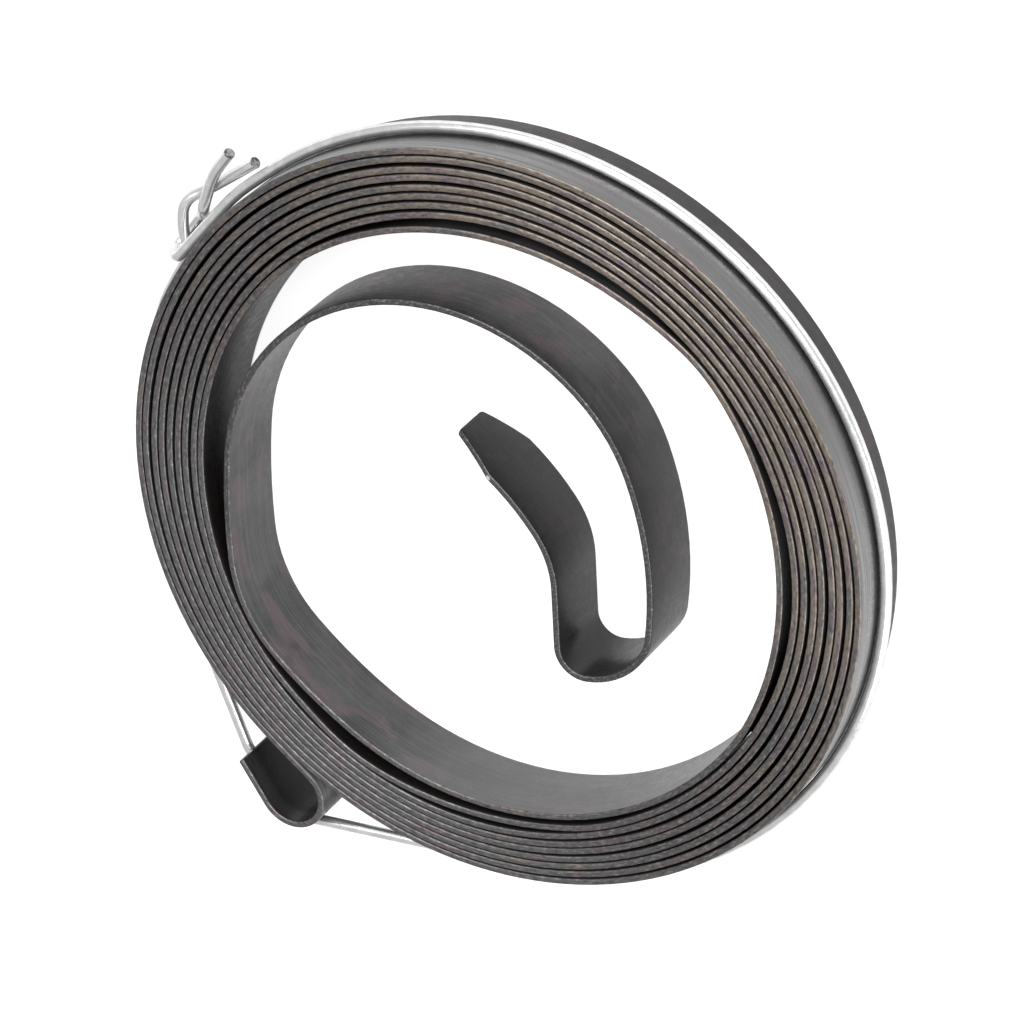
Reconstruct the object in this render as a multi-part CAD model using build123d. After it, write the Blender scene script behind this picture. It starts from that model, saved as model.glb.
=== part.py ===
from build123d import *
import os
from math import atan2, ceil, cos, degrees, pi, radians, sin, sqrt, tan

# Recoil starter spring: a flat spiral of one spring-steel strip with an inner hook and an outer
# U-hook, kept wound by a tie wire. The coil's axis is Z through the origin, and the spring lies
# flat on Z = 0. The strip is wound counter-clockwise from the inside out. Lengths are in
# millimetres and angles in degrees; winding angles are counted along the strip from its start
# at the innermost wound turn, on the +X side.

# Strip
strip_width = 8.0
strip_thickness = 0.65

# Wound turns
winding_radius = 37.15
whole_turns = 8
winding_end_angle = 272.0
loose_gap = 0.22
tight_gap = 0.045
tight_side_angle_past_end = 12.0
tight_side_sharpness = 6.6

# Unevenness of the gaps: how far a turn lies in or out, and the winding angle of one wave
unevenness = 0.06
wave_angle = 830.0

# Dents of the innermost wound turn: start angle, end angle, depth as a share of the thickness,
# and a power that moves the deepest place towards the start (below 1) or the end (above 1)
dents = [
    (8, 85, 1.05, 1.0),
    (87, 176, 1.22, 0.7),
    (258, 282, 0.38, 1.0),
    (284, 330, 0.66, 1.0),
]

# Free inner turn, from the wound turns inwards: radius as a share of the bore's, turn to the right
free_turn = [
    (0.986, 81.0),
    (1.567, 12.4),
    (0.497, 41.9),
    (2.274, 9.3),
    (0.739, 130.2),
    (0.607, 24.2),
    (1.181, 27.1),
]

# Inner hook: shoulder, open bend, tight bend, straight leg and the two counter-bends of its tip
shoulder_radius, shoulder_turn = 3.68, 18.8
open_bend_radius, open_bend_turn = 7.40, 58.3
tight_bend_radius, tight_bend_turn = 2.68, 94.1
inner_leg = 5.84
counter_bend_radius, counter_bend_turn = 9.70, 34.4
tip_bend_radius, tip_bend_turn = 25.0, 26.6
taper_length = 4.9
tip_width = 4.25
tip_drop = 0.4
tip_corner_radius = 0.5

# Outer hook
hook_lead = 4.4
hook_radius = 3.24
hook_turn = 198.0
hook_leg = 5.0

# Tie wire
wire_diameter = 1.1
wire_clearance = 0.05
wire_tip_bend = 3.0
wire_height = 4.45
wire_slant_angle = 0.8
wire_high_side_angle = 238.0
knot_angle_behind_end = 92.0
long_end_angle_behind_end = 102.0
long_end_lead = 4.2
short_end_angle_behind_end = 69.0
short_end_lead = 3.4

# Knot, in wire diameters from the wire's resting line on the coil: outwards, along, upwards
long_end_points = [
    (-0.02, 6.80, 0.44),
    (0.90, 7.06, -0.75),
    (0.85, 5.79, -1.89),
    (1.19, 3.61, -2.48),
    (1.21, 1.64, -0.12),
    (2.59, -2.07, 0.31),
    (2.65, -5.54, 1.25),
]
short_end_points = [
    (-0.45, 6.39, -0.94),
    (1.31, 4.79, -0.32),
    (3.00, 2.71, -0.50),
    (2.10, 0.24, -1.15),
    (0.70, -5.96, 0.09),
]

# How finely the winding is divided into arcs, and the share of a run that a wire bend may use
dented_step_angle = 10.0
wound_step_angle = 30.0
wire_step_angle = 60.0
run_share = 0.45
angle_tolerance = 1e-9

# Worked out from the sizes above
last_turn_start = whole_turns * 360
winding_end = last_turn_start + winding_end_angle
mid_width = strip_width / 2
wire_offset = strip_thickness / 2 + wire_clearance + wire_diameter / 2


def direction(heading):
    return Vector(cos(radians(heading)), sin(radians(heading)))


def turn_between(first, second):
    """Signed angle from one direction to another in the plan, positive to the left."""
    return degrees(atan2(first.X * second.Y - first.Y * second.X, first.dot(second)))


# Course of the strip's centreline
def dent_depth(angle):
    for start, end, depth, skew in dents:
        if start < angle < end:
            share = ((angle - start) / (end - start)) ** skew
            return depth * strip_thickness * sin(pi * share)
    return 0.0


def wound_radius(angle):
    """Centreline radius of the winding: the turns lie closer together on the hook's side."""
    from_tight_side = radians(angle - winding_end - tight_side_angle_past_end)
    closeness = ((1 + cos(from_tight_side)) / 2) ** tight_side_sharpness
    gap = loose_gap - (loose_gap - tight_gap) * closeness
    turns_inside = (winding_end - angle) / 360
    wave = unevenness * (1 - closeness) * sin(2 * pi * angle / wave_angle)
    return winding_radius - turns_inside * (strip_thickness + gap) + wave - dent_depth(angle)


def wound_point(angle):
    return direction(angle) * wound_radius(angle)


def wound_heading(angle):
    """Heading of the winding, smoothed over a step, so that a dent's corners are rounded."""
    half_step = dented_step_angle / 2
    ahead = wound_point(angle + half_step) - wound_point(angle - half_step)
    return turn_between(Vector(1, 0), ahead)


def arc_move(start, heading, end):
    """Radius and turn of the arc that leaves start at a heading and ends at end."""
    chord = end - start
    turn = 2 * turn_between(direction(heading), chord)
    return chord.length / (2 * sin(radians(abs(turn)) / 2)), turn


def two_arcs(start, heading, end, heading_there):
    """The two tangent arcs between two places with given headings, as radius and turn."""
    leave = direction(heading)
    arrive = direction(heading_there)
    span = end - start
    along = span.dot(leave + arrive)
    square = span.dot(span)
    reach = square / (along + sqrt(along**2 + 2 * (1 - leave.dot(arrive)) * square))
    joint = (start + end + (leave - arrive) * reach) * 0.5
    first = arc_move(start, heading, joint)
    second = arc_move(joint, heading + first[1], end)
    return [first, second]


def wound_moves(start, end, step):
    """Moves along the winding from one winding angle to another."""
    count = ceil((end - start) / step)
    angles = [start + (end - start) * i / count for i in range(count + 1)]
    moves = []
    for here, there in zip(angles, angles[1:]):
        heading = wound_heading(here)
        moves += two_arcs(wound_point(here), heading, wound_point(there), wound_heading(there))
    return moves


def strip_moves_outwards():
    """The dented turn, the other wound turns and the outer hook."""
    moves = wound_moves(0, 360, dented_step_angle)
    moves += wound_moves(360, last_turn_start, wound_step_angle)
    moves += wound_moves(last_turn_start, winding_end, wound_step_angle)
    moves += [(hook_lead, 0), (hook_radius, -hook_turn), (hook_leg, 0)]
    return moves


def strip_moves_inwards():
    """The free turn and the inner hook, walked from the winding to the tip."""
    bore_radius = wound_radius(0)
    moves = [(share * bore_radius, -turn) for share, turn in free_turn]
    moves += [(shoulder_radius, -shoulder_turn), (open_bend_radius, -open_bend_turn)]
    moves += [(tight_bend_radius, -tight_bend_turn), (inner_leg, 0)]
    moves += [(counter_bend_radius, counter_bend_turn), (tip_bend_radius, tip_bend_turn)]
    return moves


def end_heading(heading, moves):
    return heading + sum(turn for size, turn in moves)


def trace(start, heading, moves, offset=0.0):
    """Edges along moves, offset to the left; a move is an arc's radius and turn, or a length and 0."""
    edges = []
    place = start + direction(heading + 90) * offset
    for size, turn in moves:
        if turn:
            radius = size - offset if turn > 0 else size + offset
            edge = JernArc(place, direction(heading), radius, turn)
        else:
            edge = Line(place, place + direction(heading) * size)
        edges.append(edge)
        place = edge @ 1
        heading += turn
    return edges


# Strip
def both_sides(start, heading, moves):
    """The strip's two sides along moves, and its square end."""
    left = trace(start, heading, moves, strip_thickness / 2)
    right = trace(start, heading, moves, -strip_thickness / 2)
    return left + right + [Line(left[-1] @ 1, right[-1] @ 1)]


def tip_cutter(tip, heading):
    """What is cut away beside the inner tip: the strip narrows to a rounded end below its middle."""
    tip_plane = Plane(
        origin=tip + Vector(0, 0, mid_width),
        x_dir=direction(heading),
        z_dir=direction(heading + 90),
    )
    blank = Rectangle(2 * taper_length, 2 * strip_width)
    outline = Polyline(
        (-2 * taper_length, mid_width),
        (-taper_length, mid_width),
        (0, tip_drop + tip_width / 2),
        (0, tip_drop - tip_width / 2),
        (-taper_length, -mid_width),
        (-2 * taper_length, -mid_width),
        close=True,
    )
    narrowed = make_face(outline)
    corners = narrowed.vertices().group_by(Axis.X)[-1]
    narrowed = fillet(corners, tip_corner_radius)
    return extrude(tip_plane * (blank - narrowed), 2 * strip_thickness, both=True)


def make_strip():
    start = wound_point(0)
    heading = wound_heading(0)
    inwards = strip_moves_inwards()
    edges = both_sides(start, heading, strip_moves_outwards())
    edges += both_sides(start, heading + 180, inwards)
    strip = extrude(make_face(edges), strip_width)
    tip = trace(start, heading + 180, inwards)[-1] @ 1
    return strip - tip_cutter(tip, end_heading(heading + 180, inwards))


# Tie wire
def wire_point(angle):
    """Place of the wire's axis, in the plan, where it rests on the outermost turn."""
    return wound_point(angle) + direction(wound_heading(angle) - 90) * wire_offset


def touching_angle(centre, radius, low, high):
    """Winding angle, between low and high, whose tangent passes a circle on its left."""
    def miss(angle):
        ahead = direction(wound_heading(angle))
        aside = centre - wire_point(angle)
        return ahead.X * aside.Y - ahead.Y * aside.X - radius

    rising = miss(high) > miss(low)
    while high - low > angle_tolerance:
        middle = (low + high) / 2
        if (miss(middle) > 0) == rising:
            high = middle
        else:
            low = middle
    return low


def hook_places():
    """Centre of the U-bend, end of the leg and heading of the leg, from the strip's course."""
    heading = wound_heading(winding_end)
    bend_start = wound_point(winding_end) + direction(heading) * hook_lead
    centre = bend_start + direction(heading - 90) * hook_radius
    leg_heading = heading - hook_turn
    leg_start = centre + direction(leg_heading + 90) * hook_radius
    return centre, leg_start + direction(leg_heading) * hook_leg, leg_heading


def wire_round_hook(short_start):
    """Winding angles where the wire leaves the coil and returns, and its moves between them."""
    bend_centre, leg_end, leg_heading = hook_places()
    bend_radius = hook_radius + wire_offset
    tip_centre = leg_end + direction(leg_heading + 90) * (wire_offset - wire_tip_bend)
    leaves = touching_angle(tip_centre, wire_tip_bend, short_start, winding_end)
    below_hook = winding_end - 360
    returns = touching_angle(bend_centre, bend_radius, below_hook, below_hook + 90)
    leaving = wound_heading(leaves)
    returning = wound_heading(returns)
    along_leg = leg_heading + 180
    to_tip = (tip_centre - wire_point(leaves)).dot(direction(leaving))
    from_bend = (wire_point(returns) - bend_centre).dot(direction(returning))
    moves = [
        (to_tip, 0),
        (wire_tip_bend, turn_between(direction(leaving), direction(along_leg))),
        (hook_leg, 0),
        (bend_radius, turn_between(direction(along_leg), direction(returning))),
        (from_bend, 0),
    ]
    return leaves, returns, moves


def wire_on_coil(start, end):
    """Edges of the wire where it rests on the outermost turn."""
    moves = wound_moves(start, end, wire_step_angle)
    return trace(wound_point(start), wound_heading(start), moves, -wire_offset)


def knot_point(outwards, along, upwards):
    angle = winding_end - knot_angle_behind_end
    radius = wound_radius(angle) + wire_offset + outwards * wire_diameter
    place = direction(angle) * radius + direction(angle + 90) * along * wire_diameter
    return place + Vector(0, 0, upwards * wire_diameter)


def bend_radii(points):
    """The largest radius that each corner's two runs allow."""
    radii = []
    for before, corner, after in zip(points, points[1:], points[2:]):
        turn = radians((corner - before).get_angle(after - corner))
        shorter = min((corner - before).length, (after - corner).length)
        radii.append(run_share * shorter / tan(turn / 2))
    return radii


def wire_end(angle, sense, lead, knot_points):
    """Edges of one end of the wire: it leaves the coil straight and goes through the knot."""
    start = wire_point(angle)
    points = [start, start + direction(wound_heading(angle)) * sense * lead]
    points += [knot_point(*numbers) for numbers in knot_points]
    return list(FilletPolyline(*points, radius=bend_radii(points)).edges())


def wire_path():
    short_start = winding_end - short_end_angle_behind_end
    long_start = winding_end - long_end_angle_behind_end
    leaves, returns, round_hook = wire_round_hook(short_start)
    edges = wire_end(short_start, -1, short_end_lead, short_end_points)
    edges += wire_on_coil(short_start, leaves)
    edges += trace(wire_point(leaves), wound_heading(leaves), round_hook)
    edges += wire_on_coil(returns, long_start)
    edges += wire_end(long_start, 1, long_end_lead, long_end_points)
    return Wire.combine(edges)[0]


def make_wire():
    """The wire, swept flat and then slanted and lifted to its height on the coil."""
    path = wire_path()
    section = Plane(origin=path @ 0, z_dir=path % 0) * Circle(wire_diameter / 2)
    wire = sweep(section, path)
    print("wire length", path.length, "volume over section times length",
          wire.volume / (pi * wire_diameter**2 / 4 * path.length))
    hinge = Axis((0, 0, 0), direction(wire_high_side_angle - 90))
    return Pos(0, 0, wire_height) * wire.rotate(hinge, wire_slant_angle)


os.makedirs("parts", exist_ok=True)
export_step(make_strip(), "parts/spring_strip.step")
export_step(make_wire(), "parts/tie_wire.step")
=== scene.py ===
from collections import namedtuple
from math import pi

import bpy
from mathutils import Matrix, Vector

MM = 0.001

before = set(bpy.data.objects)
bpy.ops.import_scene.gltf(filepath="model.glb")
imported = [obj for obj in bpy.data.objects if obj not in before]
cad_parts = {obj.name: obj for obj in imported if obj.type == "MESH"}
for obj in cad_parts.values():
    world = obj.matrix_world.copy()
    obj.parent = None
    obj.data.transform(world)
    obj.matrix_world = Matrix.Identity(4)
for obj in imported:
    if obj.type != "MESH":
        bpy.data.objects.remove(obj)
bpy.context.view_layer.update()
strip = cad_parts["spring_strip"]
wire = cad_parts["tie_wire"]

# Materials measure in millimetres. The wound turns are a spiral that starts on the +X side.
BORE = 29.2
PITCH = 0.87
WOUND_DEPTH = 7.1
MASK_EDGE = 0.3
WINDING_END = 272 / 360
MEAN_RADIUS = 33.0

# The tie wire lies in a plane, a little off level
WIRE_HEIGHT = 4.45
WIRE_PLANE = (0.0074, 0.0119, 1)

# Small marks: a painted highlight as a bright spot at the inner tip's shoulder, and a dark nick in the wire
TIP_PAINTED_HIGHLIGHT = (-3.4, 4.0, 7.9)
WIRE_NICK = (-1.3, 38.2, 4.5)
MARK_REACH = 0.32

# Colours of the strip's flat sides
STEEL_DARK = (0.062, 0.063, 0.063, 1)
STEEL_LIGHT = (0.098, 0.099, 0.099, 1)
STEEL_PURPLE = (0.132, 0.100, 0.111, 1)
# painted shade: nearly black, for the flat sides between the wound turns
GAP_PAINTED_SHADE = (0.016, 0.011, 0.009, 1)
HOOK_DARK = (0.032, 0.030, 0.031, 1)

# Colours of the strip's rims
RIM_GREY = (0.122, 0.123, 0.124, 1)
RIM_BROWN_PALE = (0.215, 0.180, 0.152, 1)
RIM_BROWN_DEEP = (0.180, 0.150, 0.124, 1)
RIM_PURPLE = (0.150, 0.114, 0.134, 1)
# painted shade for the rims towards the ±X sides of the coil
RIM_PAINTED_SHADE = (0.074, 0.066, 0.070, 1)
RIM_BRIGHT_GRAIN = (0.30, 0.287, 0.27, 1)
RIM_DARK_GRAIN = (0.055, 0.051, 0.050, 1)

# Colours of the wire
ZINC_GREY = (0.84, 0.84, 0.85, 1)
ZINC_BRIGHT = (0.94, 0.94, 0.93, 1)

EDGE_ROUNDING = 0.17 * MM
EDGE_SEGMENTS = 3
SHARP_ANGLE = 50 * pi / 180
WELD_REACH = 1e-6
END_FACETS = 9

FLOOR_HALF_WIDTH = 3.0


# Node helpers
def new_material(name):
    material = bpy.data.materials.new(name)
    material.use_nodes = True
    material.node_tree.nodes.clear()
    return material, material.node_tree


def node(tree, kind, inputs=None, **settings):
    """A shader node with its settings; inputs maps a socket's name or number to a value or an output."""
    made = tree.nodes.new(kind)
    for key, value in settings.items():
        setattr(made, key, value)
    for key, value in (inputs or {}).items():
        if isinstance(value, bpy.types.NodeSocket):
            tree.links.new(value, made.inputs[key])
        else:
            made.inputs[key].default_value = value
    return made


def math(tree, operation, *values):
    return node(tree, "ShaderNodeMath", dict(enumerate(values)), operation=operation).outputs[0]


def times(tree, first, second):
    return math(tree, "MULTIPLY", first, second)


def plus(tree, first, second):
    return math(tree, "ADD", first, second)


def minus(tree, first, second):
    return math(tree, "SUBTRACT", first, second)


def noise(tree, where, scale, detail, roughness, distortion=0.0):
    inputs = {
        "Vector": where, "Scale": scale, "Detail": detail,
        "Roughness": roughness, "Distortion": distortion,
    }
    return node(tree, "ShaderNodeTexNoise", inputs).outputs["Fac"]


def ramp(tree, value, low, high, to_low=0.0, to_high=1.0):
    inputs = {"Value": value, "From Min": low, "From Max": high, "To Min": to_low, "To Max": to_high}
    return node(tree, "ShaderNodeMapRange", inputs, interpolation_type="SMOOTHSTEP").outputs[0]


def blend(tree, share, first, second):
    """Colour between two colours, or colour sockets."""
    made = node(tree, "ShaderNodeMix", data_type="RGBA")
    for socket, value in ((made.inputs["Factor"], share), (made.inputs[6], first), (made.inputs[7], second)):
        if isinstance(value, bpy.types.NodeSocket):
            tree.links.new(value, socket)
        else:
            socket.default_value = value
    return made.outputs[2]


def grey(value):
    return (value, value, value, 1)


# Places on the part
Place = namedtuple("Place", "in_mm y z radius around")


def place_on_part(tree):
    """Place in millimetres, its y and z, its distance from the coil's axis and its arc round the coil."""
    spot = node(tree, "ShaderNodeTexCoord").outputs["Object"]
    in_mm = node(tree, "ShaderNodeVectorMath", {0: spot, 1: (1 / MM,) * 3}, operation="MULTIPLY").outputs[0]
    x, y, z = node(tree, "ShaderNodeSeparateXYZ", {0: in_mm}).outputs
    radius = math(tree, "SQRT", plus(tree, times(tree, x, x), times(tree, y, y)))
    around = times(tree, math(tree, "ARCTAN2", y, x), MEAN_RADIUS)
    return Place(in_mm, y, z, radius, around)


def stretched(tree, place, along, across, up):
    """Place for a pattern that is stretched along the strip, from three scales."""
    return node(tree, "ShaderNodeCombineXYZ", {
        0: times(tree, place.around, along),
        1: times(tree, place.radius, across),
        2: times(tree, place.z, up),
    }).outputs[0]


def near(tree, place, spot):
    """1 at a small mark and 0 beyond its reach."""
    away = node(tree, "ShaderNodeVectorMath", {0: place.in_mm, 1: spot}, operation="DISTANCE")
    return ramp(tree, away.outputs["Value"], MARK_REACH, MARK_REACH * 0.5)


def turn_masks(tree, place):
    """1 between the wound turns, and 1 from the outermost face outwards."""
    share_of_turn = math(tree, "DIVIDE", place.around, MEAN_RADIUS * 2 * pi)
    turned = math(tree, "FRACT", plus(tree, share_of_turn, 1.0))
    from_inside = minus(tree, place.radius, times(tree, turned, PITCH))
    past_end = math(tree, "GREATER_THAN", turned, WINDING_END)
    from_outside = plus(tree, from_inside, times(tree, past_end, PITCH))
    outside = ramp(tree, from_outside, BORE + WOUND_DEPTH, BORE + WOUND_DEPTH + MASK_EDGE)
    past_bore = ramp(tree, from_inside, BORE, BORE + MASK_EDGE)
    return times(tree, past_bore, minus(tree, 1.0, outside)), outside


# Spring steel
def plain_steel(tree, place, lines):
    """Dark grey with soft clouds, purple patches, rolling lines and small scratches."""
    clouds = noise(tree, place.in_mm, 0.16, 4.0, 0.6)
    patches = noise(tree, stretched(tree, place, 0.16, 0.05, 0.42), 1.0, 3.0, 0.55, 0.4)
    scratches = noise(tree, stretched(tree, place, 0.9, 0.4, 5.5), 1.0, 2.0, 0.6, 0.6)
    flat = blend(tree, ramp(tree, clouds, 0.35, 0.65), STEEL_DARK, STEEL_LIGHT)
    flat = blend(tree, times(tree, ramp(tree, patches, 0.5, 0.62), 0.75), flat, STEEL_PURPLE)
    flat = blend(tree, times(tree, ramp(tree, lines, 0.42, 0.68), 0.24), flat, grey(0.21))
    return blend(tree, times(tree, ramp(tree, scratches, 0.62, 0.74), 0.45), flat, grey(0.035))


def outside_painted_light(tree, place, lines, outside, flat):
    """The outermost face: painted reflection lightens it above the wire and darkens it below, painted sheen
    lies in streaks on its upper part, and painted shade darkens it beside the wire.
    """
    # painted reflection: lighter above the wire
    above = times(tree, outside, ramp(tree, place.z, 3.0, 5.5, 0.0, 0.5))
    flat = blend(tree, above, flat, grey(0.25))
    # painted reflection: darker below the wire
    below = times(tree, outside, ramp(tree, place.z, 5.0, 3.0, 0.0, 0.5))
    flat = blend(tree, below, flat, grey(0.028))
    # painted sheen: light streaks on the upper outside face
    streaks = times(tree, ramp(tree, lines, 0.42, 0.6, 0.15, 0.6), ramp(tree, place.z, 5.4, 6.6))
    streaks = times(tree, streaks, ramp(tree, place.y, 36.0, 27.0, 0.1, 1.0))
    flat = blend(tree, times(tree, outside, streaks), flat, grey(0.40))
    # painted shade: darker close to the wire
    level = node(tree, "ShaderNodeVectorMath", {0: place.in_mm, 1: WIRE_PLANE}, operation="DOT_PRODUCT")
    from_wire = math(tree, "ABSOLUTE", minus(tree, level.outputs["Value"], WIRE_HEIGHT))
    wire_painted_shade = times(tree, outside, ramp(tree, from_wire, 1.7, 0.6, 0.0, 0.75))
    return blend(tree, wire_painted_shade, flat, grey(0.045))


def flat_colour(tree, place, lines):
    """The flat sides: the outermost face with painted reflection, sheen and shade, painted shade nearly
    black between the turns, a painted lighter arc on the open faces towards +X, and darker at the two hooks.
    """
    between, outside = turn_masks(tree, place)
    flat = outside_painted_light(tree, place, lines, outside, plain_steel(tree, place, lines))
    # painted shade: the flat sides between the wound turns go nearly black, darker further down from the top
    gap_shade_depth = ramp(tree, place.z, 7.95, 7.45, 0.2, 0.8)
    flat = blend(tree, times(tree, between, gap_shade_depth), flat, GAP_PAINTED_SHADE)
    # painted light: the open faces towards +X are lighter
    painted_light_arc = times(tree, ramp(tree, place.around, -48.0, -30.0), ramp(tree, place.around, 20.0, 0.0))
    open_face = minus(tree, 1.0, math(tree, "MAXIMUM", between, outside))
    flat = blend(tree, times(tree, times(tree, painted_light_arc, open_face), 0.45), flat, grey(0.26))
    # darker towards the two hooks
    inner_hook = ramp(tree, place.radius, 19.5, 16.0)
    outer_hook = ramp(tree, place.y, -37.0, -38.0)
    hooks_darker = times(tree, plus(tree, inner_hook, outer_hook), 0.8)
    return blend(tree, hooks_darker, flat, HOOK_DARK)


def rim_colour(tree, place, grain):
    """Heat tints in short patches along the wound turns, browner at the back, and plain grey elsewhere, with
    painted shade that darkens the rims towards the ±X sides of the coil.
    """
    tints = stretched(tree, place, 0.17, 1.25, 0.1)
    brownness = plus(tree, noise(tree, tints, 1.0, 3.0, 0.6, 0.2), times(tree, place.y, 0.0055))
    hue = noise(tree, tints, 0.53, 2.0, 0.5)
    purple = noise(tree, tints, 1.7, 2.0, 0.5)
    brown = blend(tree, ramp(tree, hue, 0.4, 0.6), RIM_BROWN_PALE, RIM_BROWN_DEEP)
    rim = blend(tree, ramp(tree, brownness, 0.47, 0.61), RIM_GREY, brown)
    rim = blend(tree, times(tree, ramp(tree, purple, 0.52, 0.64), 0.8), rim, RIM_PURPLE)
    # painted shade: the rims are darker towards the ±X sides of the coil
    sides = ramp(tree, math(tree, "ABSOLUTE", place.y), 24.0, 6.0, 0.0, 0.45)
    rim = blend(tree, sides, rim, RIM_PAINTED_SHADE)
    wound = ramp(tree, place.radius, 28.3, 28.8)
    rim = blend(tree, wound, grey(0.080), rim)
    rim = blend(tree, ramp(tree, grain, 0.5, 0.7, 0.0, 0.75), rim, RIM_BRIGHT_GRAIN)
    return blend(tree, ramp(tree, grain, 0.48, 0.3), rim, RIM_DARK_GRAIN)


def metal_surface(material, tree, colour, metallic, rough, strength, distance, height):
    """Join a metal's colour, roughness and bump to the material's output."""
    bump = node(tree, "ShaderNodeBump", {"Strength": strength, "Distance": distance, "Height": height})
    shader = node(tree, "ShaderNodeBsdfPrincipled", {
        "Base Color": colour, "Metallic": metallic, "Roughness": rough, "Normal": bump.outputs[0],
    })
    node(tree, "ShaderNodeOutputMaterial", {"Surface": shader.outputs[0]})
    return material


def spring_steel():
    material, tree = new_material("spring_steel")
    place = place_on_part(tree)
    normal = node(tree, "ShaderNodeTexCoord").outputs["Normal"]
    upright = math(tree, "ABSOLUTE", node(tree, "ShaderNodeSeparateXYZ", {0: normal}).outputs[2])
    edge = ramp(tree, upright, 0.25, 0.55)
    grain = noise(tree, stretched(tree, place, 1.5, 4.2, 1.5), 1.0, 4.0, 0.68)
    lines = noise(tree, stretched(tree, place, 0.05, 0.3, 4.2), 1.0, 3.0, 0.6)
    colour = blend(tree, edge, flat_colour(tree, place, lines), rim_colour(tree, place, grain))
    # painted highlight: a bright spot at the inner tip's shoulder
    colour = blend(tree, near(tree, place, TIP_PAINTED_HIGHLIGHT), colour, grey(0.7))

    fine = noise(tree, place.in_mm, 9.0, 4.0, 0.7)
    shade = noise(tree, place.in_mm, 1.3, 4.0, 0.6)
    rough = plus(tree, ramp(tree, shade, 0.35, 0.65, 0.24, 0.33), times(tree, fine, 0.06))
    rough = plus(tree, rough, times(tree, edge, 0.12))
    height = plus(tree, times(tree, fine, 0.5), times(tree, lines, 0.6))
    height = plus(tree, height, times(tree, times(tree, grain, edge), 0.7))
    return metal_surface(material, tree, colour, 0.75, rough, 0.16, 0.06 * MM, height)


# Wire
def galvanised_wire():
    """Bright zinc with soft spots and one nick."""
    material, tree = new_material("galvanised_wire")
    place = place_on_part(tree)
    spots = noise(tree, place.in_mm, 0.7, 3.0, 0.55)
    fine = noise(tree, place.in_mm, 4.0, 2.0, 0.5)
    colour = blend(tree, ramp(tree, spots, 0.4, 0.62), ZINC_GREY, ZINC_BRIGHT)
    colour = blend(tree, near(tree, place, WIRE_NICK), colour, grey(0.05))
    rough = ramp(tree, fine, 0.3, 0.7, 0.2, 0.27)
    return metal_surface(material, tree, colour, 0.88, rough, 0.06, 0.05 * MM, fine)


def sheared_wire():
    """The wire's cut ends: bare steel, dull and torn."""
    material, tree = new_material("sheared_wire")
    torn = noise(tree, place_on_part(tree).in_mm, 3.2, 3.0, 0.6)
    colour = blend(tree, ramp(tree, torn, 0.4, 0.6), grey(0.09), grey(0.42))
    return metal_surface(material, tree, colour, 0.9, 0.42, 0.5, 0.15 * MM, torn)


def dress(obj, *materials):
    obj.data.materials.clear()
    for material in materials:
        obj.data.materials.append(material)


def dress_cut_ends(obj, slot):
    """Put a slot's material on the flat end faces, whose many facets share one normal."""
    facets = {}
    for polygon in obj.data.polygons:
        key = tuple(round(c, 3) for c in polygon.normal)
        facets.setdefault(key, []).append(polygon)
    for group in facets.values():
        if len(group) > END_FACETS:
            for polygon in group:
                polygon.material_index = slot


dress(strip, spring_steel())
dress(wire, galvanised_wire(), sheared_wire())
dress_cut_ends(wire, 1)


# Rounded edges, as rolled spring strip has them
def round_edges(obj):
    weld = obj.modifiers.new("weld", "WELD")
    weld.merge_threshold = WELD_REACH
    bevel = obj.modifiers.new("rolled_edges", "BEVEL")
    bevel.width = EDGE_ROUNDING
    bevel.segments = EDGE_SEGMENTS
    bevel.limit_method = "ANGLE"
    bevel.angle_limit = SHARP_ANGLE
    bevel.use_clamp_overlap = False
    bevel.loop_slide = False
    bevel.harden_normals = False


round_edges(strip)
for piece in (strip, wire):
    for polygon in piece.data.polygons:
        polygon.use_smooth = True


# Floor
def white_floor():
    """White to the camera and in reflections, with a faint shadow, and painted shade that makes it black
    between the wound turns.
    """
    material, tree = new_material("white_floor")
    # painted shade: the floor goes black between the wound turns
    between = turn_masks(tree, place_on_part(tree))[0]
    floor_outside_painted_shade = minus(tree, 1.0, between)
    path = node(tree, "ShaderNodeLightPath").outputs
    to_camera = path["Is Camera Ray"]
    reflected = math(tree, "MAXIMUM", path["Is Glossy Ray"], path["Is Transmission Ray"])
    glow_level = plus(tree, times(tree, to_camera, 0.8), times(tree, reflected, 0.25))
    lit_level = ramp(tree, to_camera, 0.0, 1.0, 0.5, 0.36)
    lit = node(tree, "ShaderNodeBsdfDiffuse", {"Color": times(tree, lit_level, floor_outside_painted_shade)})
    glow_inputs = {"Color": grey(1.0), "Strength": times(tree, glow_level, floor_outside_painted_shade)}
    glow = node(tree, "ShaderNodeEmission", glow_inputs)
    both = node(tree, "ShaderNodeAddShader", {0: lit.outputs[0], 1: glow.outputs[0]})
    node(tree, "ShaderNodeOutputMaterial", {"Surface": both.outputs[0]})
    return material


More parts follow.
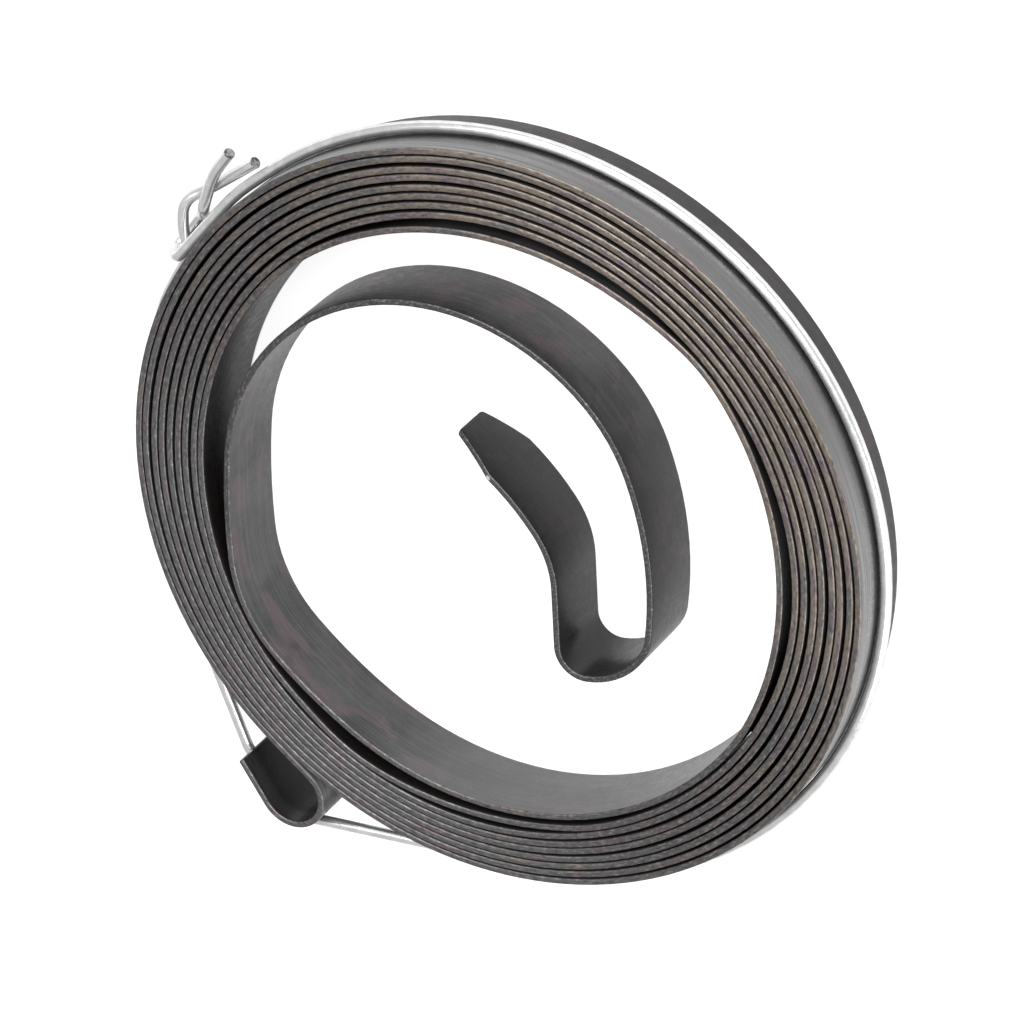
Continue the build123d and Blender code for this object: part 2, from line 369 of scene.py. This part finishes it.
def make_floor():
    mesh = bpy.data.meshes.new("floor")
    half = FLOOR_HALF_WIDTH
    corners = [(-half, -half, 0), (half, -half, 0), (half, half, 0), (-half, half, 0)]
    mesh.from_pydata(corners, [], [(0, 1, 2, 3)])
    floor = bpy.data.objects.new("floor", mesh)
    bpy.context.scene.collection.objects.link(floor)
    dress(floor, white_floor())


make_floor()


# Camera at the photograph's viewing angle
def make_camera():
    coil_radius = 37.5 * MM
    tilt, roll = 0.678833, -0.82244
    photo_width, focal_length_in_pixels = 1024, 5000
    sensor_width = 36.0
    turn = Matrix.Rotation(roll, 3, "Z") @ Matrix.Rotation(tilt, 3, "X")
    coil_from_camera = Vector((-0.005835, 0.003053, -12.166191)) * coil_radius
    coil_centre = Vector((0.091, 0.075, 4.0)) * MM
    place = coil_centre - turn.transposed() @ coil_from_camera

    data = bpy.data.cameras.new("camera")
    data.sensor_width = sensor_width
    data.lens = focal_length_in_pixels / photo_width * sensor_width
    data.clip_start = 0.05
    data.clip_end = 20.0
    camera = bpy.data.objects.new("camera", data)
    camera.matrix_world = Matrix.Translation(place) @ turn.transposed().to_4x4()
    bpy.context.scene.collection.objects.link(camera)
    bpy.context.scene.camera = camera


make_camera()


# Soft studio light
def soft_light(name, place, size, power):
    """A square lamp that faces the part."""
    data = bpy.data.lights.new(name, "AREA")
    data.shape = "SQUARE"
    data.size = size
    data.energy = power
    light = bpy.data.objects.new(name, data)
    light.location = place
    light.rotation_euler = (-Vector(place)).to_track_quat("-Z", "Y").to_euler()
    bpy.context.scene.collection.objects.link(light)


def make_world(strength):
    world = bpy.data.worlds.new("studio")
    world.use_nodes = True
    background = world.node_tree.nodes["Background"]
    background.inputs["Color"].default_value = grey(1.0)
    background.inputs["Strength"].default_value = strength
    bpy.context.scene.world = world


soft_light("key", (-0.20, 0.35, 0.60), 0.80, 8.0)
soft_light("fill", (0.50, 0.10, 0.30), 0.45, 2.0)
make_world(0.5)
bpy.context.scene.view_settings.view_transform = "Standard"
